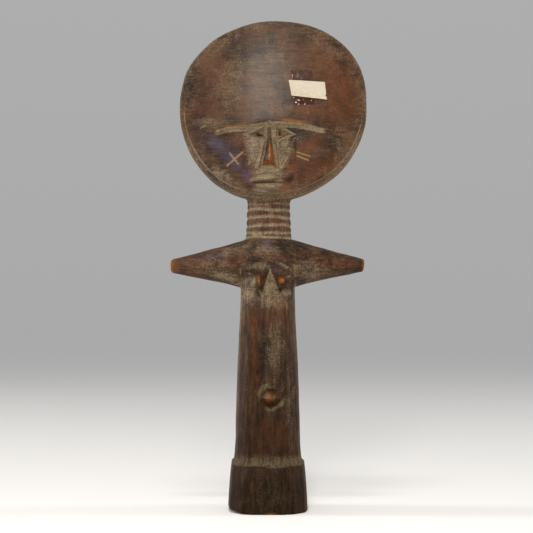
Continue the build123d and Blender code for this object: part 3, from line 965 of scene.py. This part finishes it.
def body_marks(points):
    """Dust, stain and wear below the head, with painted shade round the breasts, on the navel and under
    the foot ledge, painted sheen and highlights, and darker towards the bottom.
    """
    x, y, z = points.T
    front = ramp(2, -6, y)
    on_navel, round_navel = navel_zones(x, y, z)
    rings = neck_grooves(x, y, z) * ramp(CHEST_TOP - 1, CHEST_TOP, z)
    foot_band = ramp(BASE_TOP - 0.8, BASE_TOP + 0.4, z) * ramp(37, 29, z)
    right_tip = bell(off(x + 0.12 * (z - 139.6), z, (-5.4, 139.6), 0.6, 2.3), 0.9)
    left_tip = bell(off(x, z, (8.4, 139.4), 1.3, 1.4), 1.0)
    by_breasts = ramp(13, 9, off(x, z, (1, 141), tall=1 / 1.3))
    by_navel = ramp(9, 7, off(x, z, NAVEL_PLACE))
    on_chest = ramp(147, 151, z) * ramp(24, 14, np.abs(x)) * ramp(CHEST_TOP, CHEST_TOP - 2, z)
    marks = {name: blots(x, z, places) for name, places in BODY_BLOTS.items()}
    between_breasts = ramp(0.0, 0.8, triangle(x, z, HOLLOW_MIDDLE))
    layer(marks, "dust_and_sheen", round_navel, 0.9 * between_breasts, 0.26 * bell(strokes(x, z, ARM_CREASES), 0.8))
    marks["wear_and_highlight"] = most(right_tip, left_tip)
    marks["gloss"] = most(0.8 * right_tip, 0.5 * bell(off(x, z, (-1.5, 160.5), tall=1.25), 4.5))
    marks["swept"] = most(by_breasts, by_navel, 0.5 * on_chest)
    marks = {name: front * values for name, values in marks.items()}
    layer(marks, "dust_and_sheen", 1.1 * rings, 0.72 * foot_band, side_dust_and_sheen(x, y, z))
    marks["dust_and_sheen"] = marks["dust_and_sheen"] * (1 - on_navel)
    shine = on_navel * ramp(4.0, 0.0, off(x, z, NAVEL_SHINE, wide=1.25))
    layer(marks, "wear_and_highlight", body_wear(x, y, z), 0.28 * shine)
    layer(marks, "gloss", 0.8 * on_navel)
    layer(marks, "red", 0.8 * ramp(0.35, 0.0, rings) * (z > CHEST_TOP))
    layer(marks, "rust", 0.5 * on_navel)
    # Painted shade on the navel's boss: darker the further it lies from its worn spot.
    shaded = on_navel * ramp(0.8, 4.6, off(x, z, NAVEL_SHINE))
    # The body grows darker towards the bottom.
    layer(marks, "dark", 0.9 * ramp(175, -10, z), 0.9 * shaded)
    marks["scar"] = np.zeros(len(x))
    return marks


def skin_marks(points, normals, steep):
    """Every mark on the skin that the wood's material reads, from 0 to 1.

    The marks called swept only say where dust doesn't gather by itself, so they end here.
    """
    x, _, z = points.T
    share = ramp(HEAD_FOOT - 2, HEAD_FOOT + 2, z)
    on_head, on_body = head_marks(points), body_marks(points)
    marks = {name: share * on_head[name] + (1 - share) * on_body[name] for name in on_head}
    corners = 1.3 * cavity(points, normals, steep, 0.7)
    hollows = 1.5 * cavity(points, normals, steep, 2.4)
    gathered = np.clip(most(corners, hollows) - 0.12, 0, 0.8)
    clean = 1 - most(marks["gloss"], marks["wear_and_highlight"], marks.pop("swept"))
    marks["dust_and_sheen"] = np.clip(marks["dust_and_sheen"] + gathered * clean, 0, 1)
    edges = np.clip(cavity(points, normals, steep, -0.9), 0, 1)
    marks["edge"] = np.clip(1.4 * edges - 0.2, 0, 1)
    chest = ramp(140, 150, z) * (z < NECK_FOOT)
    arm = ramp(14, 19, np.abs(x)) * (z > ARM_LOW) * (z < NECK_FOOT)
    marks["along"] = most(chest, arm) + 0.8 * share
    marks["swirl"] = most(share, 0.6 * chest * ramp(24, 10, np.abs(x)))
    return marks


# ---- materials ----
def srgb(red, green, blue):
    """A colour as seen on screen, from 0 to 255, as the linear colour that shaders take."""
    return (*(((c / 255 + 0.055) / 1.055) ** 2.4 if c > 10 else c / 3294.6 for c in (red, green, blue)), 1)


class Nodes:
    """Adds shader nodes to a material or a world. An input is a plain value or a node's output."""

    def __init__(self, owner):
        owner.use_nodes = True
        self.tree = owner.node_tree

    def fill(self, made, inputs):
        for key, value in inputs.items():
            if isinstance(value, bpy.types.NodeSocket):
                self.tree.links.new(value, made.inputs[key])
            else:
                made.inputs[key].default_value = value

    def add(self, kind, inputs, output=0, **settings):
        made = self.tree.nodes.new("ShaderNode" + kind)
        for name, value in settings.items():
            setattr(made, name, value)
        self.fill(made, inputs)
        return made.outputs[output]

    def maths(self, operation, *values):
        return self.add("Math", dict(enumerate(values)), operation=operation)

    def times(self, one, other):
        return self.maths("MULTIPLY", one, other)

    def total(self, start, *terms):
        """A start value plus pairs of a value and its weight."""
        for value, weight in terms:
            start = self.maths("MULTIPLY_ADD", value, weight, start)
        return start

    def rise(self, value, low, high):
        """0 at low, 1 at high, and smooth between them. low may be above high."""
        limits = {"Value": value, "From Min": low, "From Max": high}
        return self.add("MapRange", limits, interpolation_type="SMOOTHSTEP")

    def over(self, share, under, top):
        """A colour laid over another by a share from 0 to 1."""
        return self.add("Mix", {0: share, 6: under, 7: top}, output=2, data_type="RGBA")

    def mark(self, name):
        """One of the marks that skin_marks keeps on the mesh."""
        return self.add("Attribute", {}, output=2, attribute_name=name)

    def streaks(self, lumps, detail, seed, bend=0.0):
        """Noise with a lump size in millimetres along each axis."""
        place = self.add("TexCoord", {}, output=3)
        scale = tuple(1 / (MM * lump) for lump in lumps)
        shift = (seed, seed, seed)
        moved = self.add("VectorMath", {0: place, 1: scale, 2: shift}, operation="MULTIPLY_ADD")
        inputs = {"Vector": moved, "Scale": 1.0, "Detail": detail, "Roughness": 0.6, "Distortion": bend}
        return self.add("TexNoise", inputs)

    def bump(self, strength, distance, height):
        inputs = {"Strength": strength, "Distance": distance * MM, "Height": height}
        return self.add("Bump", inputs)


def new_material(name):
    """A material, what adds nodes to it, and its main shader."""
    material = bpy.data.materials.new(name)
    look = Nodes(material)
    return material, look, look.tree.nodes["Principled BSDF"]


HEAD_GRAIN_BEND = 1.6


def grain(look, marks, length, width, detail, seed):
    """Noise drawn out along the wood: upright in the trunk, along the arms, bent across the head."""
    bend = look.times(marks["swirl"], HEAD_GRAIN_BEND)
    upright = look.streaks((width, width, length), detail, seed, bend)
    lengthways = look.streaks((length, width, width), detail, seed, bend)
    return look.add("Mix", {0: marks["along"], 2: upright, 3: lengthways}, data_type="FLOAT")


WOOD_MARKS = ("dust_and_sheen", "dark", "red", "rust", "bloom_and_sheen", "scar", "wear_and_highlight", "edge", "gloss", "along", "swirl")
STAIN = (srgb(29, 20, 13), srgb(62, 43, 28), srgb(88, 63, 42))  # from dark to light
RED_STAIN = srgb(82, 42, 29)
RUST_STAIN = srgb(98, 54, 25)
PURPLE_BLOOM_AND_SHEEN = srgb(68, 57, 86)
DARK_STAIN_AND_SHADE = srgb(28, 16, 3)
PORES = srgb(24, 16, 12)
DUST_AND_SHEEN = (srgb(98, 84, 64), srgb(146, 130, 104))
RUBBED_EDGE = srgb(104, 72, 48)
BARE_WOOD_AND_HIGHLIGHT = srgb(156, 94, 30)
CUT_WOOD = srgb(150, 122, 78)


def stained_wood():
    """Dark stain over orange wood, rubbed through on edges, with pale dust in the hollows, and painted
    shade, sheen and highlights laid into the colour.
    """
    material, look, shader = new_material("stained_wood")
    marks = {name: look.mark(name) for name in WOOD_MARKS}
    broad = look.streaks((17, 17, 26), 3.0, 1.0)
    veins = grain(look, marks, 16.0, 1.7, 4.0, 5.0)
    fine = grain(look, marks, 4.0, 0.6, 3.0, 9.0)
    specks = look.streaks((0.9, 0.9, 0.9), 4.0, 13.0)
    blotches = look.streaks((4.5, 4.5, 6.0), 4.0, 17.0)

    tone = look.total(0.0, (broad, 0.5), (veins, 0.5))
    loose_red = look.times(look.rise(broad, 0.5, 0.64), 0.4)
    red = look.maths("MAXIMUM", marks["red"], loose_red)
    bloom_and_sheen = look.times(marks["bloom_and_sheen"], look.rise(specks, 0.2, 0.7))
    pore_depth = look.total(0.75, (marks["swirl"], -0.35))
    dust_and_sheen_reach = look.total(-0.2, (marks["dust_and_sheen"], 0.7), (specks, 0.55), (blotches, 0.45))
    # Dust and painted sheen are fainter where the dark marks and their painted shade lie.
    dust_and_sheen_strength = look.total(0.85, (marks["dark"], -0.66))
    dust_and_sheen_cover = look.times(look.rise(dust_and_sheen_reach, 0.28, 0.8), dust_and_sheen_strength)
    mottle = look.total(0.0, (specks, 0.5), (veins, 0.5))
    rubbed = look.times(marks["edge"], look.rise(blotches, 0.42, 0.6))
    layers = (
        (look.rise(tone, 0.38, 0.52), STAIN[1]),
        (look.rise(tone, 0.48, 0.62), STAIN[2]),
        (look.times(red, look.rise(blotches, 0.2, 0.7)), RED_STAIN),
        (look.times(marks["rust"], look.rise(blotches, 0.2, 0.6)), RUST_STAIN),
        # Purple bloom, and painted highlight, sheen and reflection, in one colour.
        (look.times(bloom_and_sheen, 0.8), PURPLE_BLOOM_AND_SHEEN),
        # The dark marks lay real dark stain and painted shade into the colour, and darken the wood towards
        # the bottom.
        (look.times(marks["dark"], 0.8), DARK_STAIN_AND_SHADE),
        (look.times(look.rise(fine, 0.48, 0.34), pore_depth), PORES),
        # Pale dust; the same colour also paints sheen down the body's sides and a highlight along the foot
        # ledge.
        (dust_and_sheen_cover, look.over(look.rise(mottle, 0.4, 0.6), *DUST_AND_SHEEN)),
        (look.times(rubbed, 0.35), RUBBED_EDGE),
        (look.times(marks["wear_and_highlight"], look.rise(blotches, 0.1, 0.5)), BARE_WOOD_AND_HIGHLIGHT),
        (marks["scar"], CUT_WOOD),
    )
    colour = STAIN[0]
    for share, top in layers:
        colour = look.over(share, colour, top)

    height = look.total(0.0, (fine, 0.35), (specks, 0.5), (veins, 0.4))
    look.fill(shader, {
        "Base Color": colour,
        "Roughness": look.total(0.42, (specks, 0.2), (dust_and_sheen_cover, 0.3), (marks["gloss"], -0.32)),
        "Specular IOR Level": look.total(0.14, (marks["dark"], -0.1), (marks["gloss"], 0.02)),
        "Normal": look.bump(0.5, 0.22, height),
    })
    return material


PAPER = (srgb(184, 174, 153), srgb(199, 190, 171))
AGED_PAPER = srgb(176, 156, 126)


def label_paper():
    """Cream paper with a faint fibre, a little browner in patches."""
    material, look, shader = new_material("label_paper")
    fibre = look.streaks((1.2, 0.5, 0.35), 4.0, 3.0)
    patches = look.streaks((6, 6, 4), 2.0, 7.0)
    paper = look.over(look.rise(fibre, 0.35, 0.65), *PAPER)
    aged = look.times(look.rise(patches, 0.5, 0.75), 0.5)
    look.fill(shader, {
        "Base Color": look.over(aged, paper, AGED_PAPER),
        "Roughness": 0.8,
        "Normal": look.bump(0.3, 0.05, fibre),
    })
    return material


def tape_film():
    """Clear glossy film, which darkens the wood under it as if it were wet."""
    material, look, shader = new_material("tape_film")
    smears = look.streaks((3, 3, 1.4), 2.0, 21.0)
    look.fill(shader, {
        "Base Color": srgb(66, 34, 14),
        "Roughness": look.total(0.05, (look.rise(smears, 0.5, 0.7), 0.15)),
        "Specular IOR Level": 0.4,
        "Alpha": 0.34,
    })
    return material


# ---- pieces in the scene ----
def add_object(name, data):
    """Puts a mesh, a light or a camera into the scene."""
    made = bpy.data.objects.new(name, data)
    bpy.context.collection.objects.link(made)
    return made


def add_piece(name, mesh, material, replaced):
    """A piece of the doll, which stands for CAD nodes."""
    mesh.transform(Matrix.Scale(MM, 4))
    mesh.materials.append(material)
    made = add_object(name, mesh)
    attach(made, "root")
    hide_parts(*replaced)


WOOD_PIECES = {
    "foot_block": ("base",),
    "trunk": ("torso", "right_breast", "left_breast", "navel"),
    "right_arm": ("right_arm",),
    "left_arm": ("left_arm",),
    "neck": ("neck",),
    "head": ("head_disc", "nose", "lips"),
}


def add_wood():
    """Cuts the block into its pieces, and keeps what lies on each one's skin on its mesh."""
    block = carved_block()
    owners = [piece_at(face.calc_center_median()) for face in block.faces]
    material = stained_wood()
    for name, replaced in WOOD_PIECES.items():
        piece = closed_piece(block, owners, name)
        mesh = bpy.data.meshes.new("carved_" + name)
        piece.to_mesh(mesh)
        piece.free()
        points = read(mesh.vertices, "co", 3)
        _, gradient = slopes(points)
        steep = np.maximum(np.linalg.norm(gradient, axis=1), 0.2)
        normals = gradient / steep[:, None]
        for mark_name, values in skin_marks(points, normals, steep).items():
            kept = mesh.attributes.new(mark_name, "FLOAT", "POINT")
            kept.data.foreach_set("value", values.astype(np.float32))
        add_piece("carved_" + name, mesh, material, replaced)
        set_normals(mesh, normals)
    block.free()


# label and tape
TAPE_GAP = 0.1  # from the dome up to the tape's underside
TAPE_THICKNESS = 0.14
TAPE_MESH = (44, 60)  # squares across and up
LABEL_MESH = (36, 18)
LABEL_GAP = 0.34
LABEL_THICKNESS = 0.2
LABEL_NICK = ((0.985, 0.23), 0.035, 0.09)  # a torn bite: middle, width, height, in shares of the label
NICK_DEPTH = 1.0
SHARP_FOLD = math.radians(50)  # folds sharper than this are shaded as edges


def sheet_mesh(name, corners, counts, gap, thickness, lift, bite=None):
    """A thin closed sheet on the forehead. corners run top left, top right, bottom right, bottom left."""
    across, up = np.meshgrid(*(np.linspace(0, 1, count + 1) for count in counts))
    top_left, top_right, low_right, low_left = (np.array(corner) for corner in corners)
    top = top_left + across[..., None] * (top_right - top_left)
    low = low_left + across[..., None] * (low_right - low_left)
    u, v = np.moveaxis(low + up[..., None] * (top - low), -1, 0)
    if bite is not None:
        u = u - NICK_DEPTH * ramp(1.0, 0.2, off(across, up, *bite)) * ramp(0.93, 1, across)
    level = dome_level(u, v) + gap + lift(across, up)
    bm = bmesh.new()
    layers = []
    for raised in (0, thickness):
        w = level + raised
        place = HEAD_CENTRE + u[..., None] * ACROSS + v[..., None] * UP + w[..., None] * OUT
        layers.append([[bm.verts.new(co) for co in row] for row in place])
    under, cover = layers
    rows, columns = counts[1], counts[0]
    for j, i in product(range(rows), range(columns)):
        bm.faces.new((cover[j][i], cover[j][i + 1], cover[j + 1][i + 1], cover[j + 1][i]))
        bm.faces.new((under[j + 1][i], under[j + 1][i + 1], under[j][i + 1], under[j][i]))
    ring = [(0, i) for i in range(columns)] + [(j, columns) for j in range(rows)]
    ring += [(rows, i) for i in range(columns, 0, -1)] + [(j, 0) for j in range(rows, 0, -1)]
    for (j, i), (next_j, next_i) in zip(ring, ring[1:] + ring[:1]):
        bm.faces.new((under[j][i], under[next_j][next_i], cover[next_j][next_i], cover[j][i]))
    bmesh.ops.recalc_face_normals(bm, faces=bm.faces)
    for face in bm.faces:
        face.smooth = True
    for edge in bm.edges:
        edge.smooth = edge.calc_face_angle(0) < SHARP_FOLD
    mesh = bpy.data.meshes.new(name)
    bm.to_mesh(mesh)
    bm.free()
    return mesh


def paper_lift(across, up):
    """The label's corners stand off a little, and its lower edge curls."""
    edge = most(np.abs(across - 0.5), np.abs(up - 0.5)) * 2
    uneven = np.sin(5 * across + 2 * up + 1) ** 2
    return 0.12 * ramp(0.8, 1, edge) * uneven + 0.15 * ramp(0.15, 0, up) * across


def film_ripples(across, up):
    """Wrinkles and bubbles of badly laid tape, strongest where the label doesn't press on it."""
    points = np.stack((across.ravel() * 15, up.ravel() * 21, 0 * up.ravel()), axis=1)
    ripples = 0.22 * noise(points, (2.2, 2.0, 1), 31) + 0.2 * noise(points, (1.1, 1.3, 1), 32)
    loose = most(ramp(0.68, 0.74, up), ramp(0.2, 0.12, up))
    return (0.7 * ripples.reshape(up.shape) + 0.19) * loose


def add_label_and_tape():
    label = sheet_mesh(
        "paper_label", LABEL_CORNERS, LABEL_MESH, LABEL_GAP, LABEL_THICKNESS, paper_lift, LABEL_NICK
    )
    add_piece("blank_label", label, label_paper(), ("paper_label",))
    film = sheet_mesh("clear_tape", TAPE_CORNERS, TAPE_MESH, TAPE_GAP, TAPE_THICKNESS, film_ripples)
    add_piece("tape_strip", film, tape_film(), ("clear_tape",))


# ---- floor, light and camera, in metres ----
FLOOR_SIZE = 200.0
FLOOR_PALENESS = 0.88
HORIZON = 0.4  # brightness of the sky where it meets the floor
SKY_RISE = 1.5 * (1 / FLOOR_PALENESS - 1)  # by which it is brighter overhead, which evens out the floor


def add_floor():
    """A wide pale floor, which meets a sky of nearly its own colour."""
    half = FLOOR_SIZE / 2
    corners = [(-half, -half, 0), (half, -half, 0), (half, half, 0), (-half, half, 0)]
    mesh = bpy.data.meshes.new("floor")
    mesh.from_pydata(corners, [], [(0, 1, 2, 3)])
    material, look, shader = new_material("pale_floor")
    pale = (FLOOR_PALENESS, FLOOR_PALENESS, FLOOR_PALENESS, 1)
    look.fill(shader, {"Base Color": pale, "Roughness": 0.9, "Specular IOR Level": 0.0})
    mesh.materials.append(material)
    add_object("floor", mesh)


def add_sky():
    """Pale all round and brighter overhead, so that the far floor comes out like the horizon."""
    world = bpy.data.worlds.new("studio")
    sky = Nodes(world)
    height = sky.add("SeparateXYZ", {0: sky.add("TexCoord", {})}, output=2)
    overhead = sky.times(sky.maths("MAXIMUM", height, 0.0), SKY_RISE)
    strength = sky.total(HORIZON, (overhead, HORIZON))
    sky.fill(sky.tree.nodes["Background"], {"Color": (1, 1, 1, 1), "Strength": strength})
    bpy.context.scene.world = world


LIT_PLACE = (0, 0, 0.19)
LIGHT_COLOUR = (1.0, 0.95, 0.88)


def add_softbox(name, place, size, watts):
    """An area light that faces the doll."""
    light = bpy.data.lights.new(name, "AREA")
    light.shape = "RECTANGLE"
    light.size, light.size_y = size
    light.energy = watts
    light.color = LIGHT_COLOUR
    made = add_object(name, light)
    made.location = place
    made.visible_camera = False
    made.rotation_euler = (Vector(LIT_PLACE) - made.location).to_track_quat("-Z", "Y").to_euler()


SOFTBOXES = {  # place, width and height, watts
    "front_key": ((-0.04, -0.62, 0.5), (0.09, 0.22), 2.85),
    "overhead": ((-0.05, -0.35, 0.9), (0.2, 0.1), 2.0),
    "left_strip": ((-1.7, 0.1, 0.62), (0.3, 1.15), 17),
    "right_strip": ((1.7, 0.1, 0.62), (0.3, 1.15), 11),
}

CAMERA_PLACE = (-0.00077, -0.74, 0.1095)
CAMERA_RISE = math.radians(3.03)  # by which it looks up from level
CAMERA_LENS = 81  # focal length and sensor width, in millimetres
CAMERA_SENSOR = 36


def add_camera():
    view = bpy.data.cameras.new("camera")
    view.lens = CAMERA_LENS
    view.sensor_width = CAMERA_SENSOR
    camera = add_object("camera", view)
    camera.location = CAMERA_PLACE
    camera.rotation_euler = (math.radians(90) + CAMERA_RISE, 0, 0)
    bpy.context.scene.camera = camera


add_wood()
add_label_and_tape()
add_floor()
add_sky()
for name, (place, size, watts) in SOFTBOXES.items():
    add_softbox(name, place, size, watts)
add_camera()
bpy.context.scene.view_settings.view_transform = "Standard"
